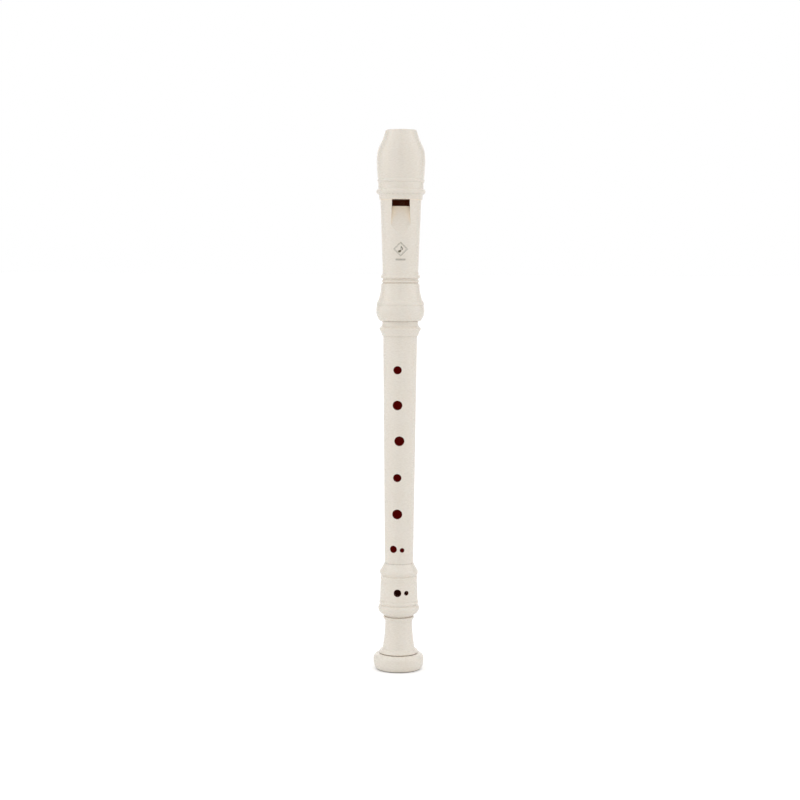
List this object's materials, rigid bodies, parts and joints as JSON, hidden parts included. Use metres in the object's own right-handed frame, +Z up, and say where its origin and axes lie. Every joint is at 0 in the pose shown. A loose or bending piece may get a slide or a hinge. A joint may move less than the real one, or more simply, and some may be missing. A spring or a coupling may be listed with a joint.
{
  "type": "soprano recorder",
  "caption": "Moulded fipple flute in separate head, middle and foot joints: beak with windway and window, tapered tube with finger holes, ringed foot.",
  "frame": {"origin": "centre of the foot's flat underside, on the bore's axis", "axes": "+Z up the bore from the foot to the beak's tip, -Y the side the window and the finger holes face, +X to the right when the window is seen from the front"},
  "size_m": [0.0306, 0.0306, 0.33],
  "materials": {
    "body_plastic": "satin ivory ABS",
    "block_plastic": "satin ivory ABS"
  },
  "bodies": {
    "foot": {"foot_outer_shell": "body_plastic", "foot_inner_tube": "body_plastic"},
    "middle": {"middle_joint": "body_plastic"},
    "head": {"head_outer_shell": "body_plastic", "head_inner_tube": "body_plastic", "windway_block": "block_plastic"}
  },
  "joints": [
    {"name": "foot_turn", "type": "hinge", "parent": "foot", "child": "middle", "pos_m": [0, 0, 0.0647], "axis": [0, 0, 1], "continuous": true},
    {"name": "head_slide", "type": "slide", "parent": "middle", "child": "head", "axis": [0, 0, 1], "range_m": [0, 0.022]}
  ]
}
